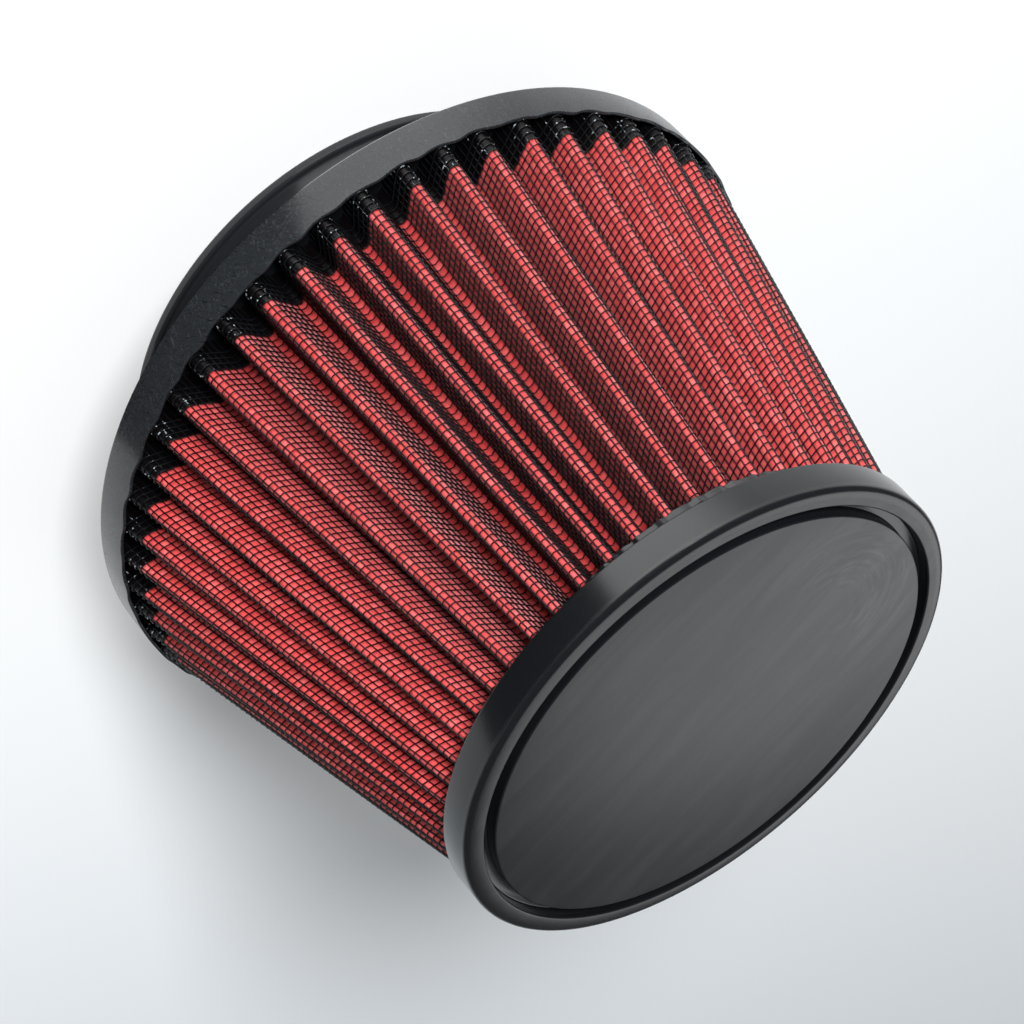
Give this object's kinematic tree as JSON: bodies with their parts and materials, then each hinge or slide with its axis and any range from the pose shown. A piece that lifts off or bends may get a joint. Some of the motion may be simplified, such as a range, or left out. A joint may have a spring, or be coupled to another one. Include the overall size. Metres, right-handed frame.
{
  "type": "conical air filter",
  "caption": "Conical pleated gauze air filter for an engine intake, with a moulded base ring and open neck that clamps on a pipe, and a closed flat end cap.",
  "frame": {"origin": "centre of the neck's rim, on the plane that the filter stands on", "axes": "+Z along the filter's axis, from the open neck to the closed end cap"},
  "size_m": [0.1524, 0.1524, 0.1267],
  "materials": {
    "urethane": "satin black moulded urethane",
    "gauze": "red oiled cotton gauze",
    "screen_wire": "black epoxy coated woven wire"
  },
  "bodies": {
    "root": {"base_flange": "urethane", "end_cap": "urethane", "filter_media": "gauze", "outer_screen": "screen_wire", "inner_screen": "screen_wire"}
  },
  "joints": []
}
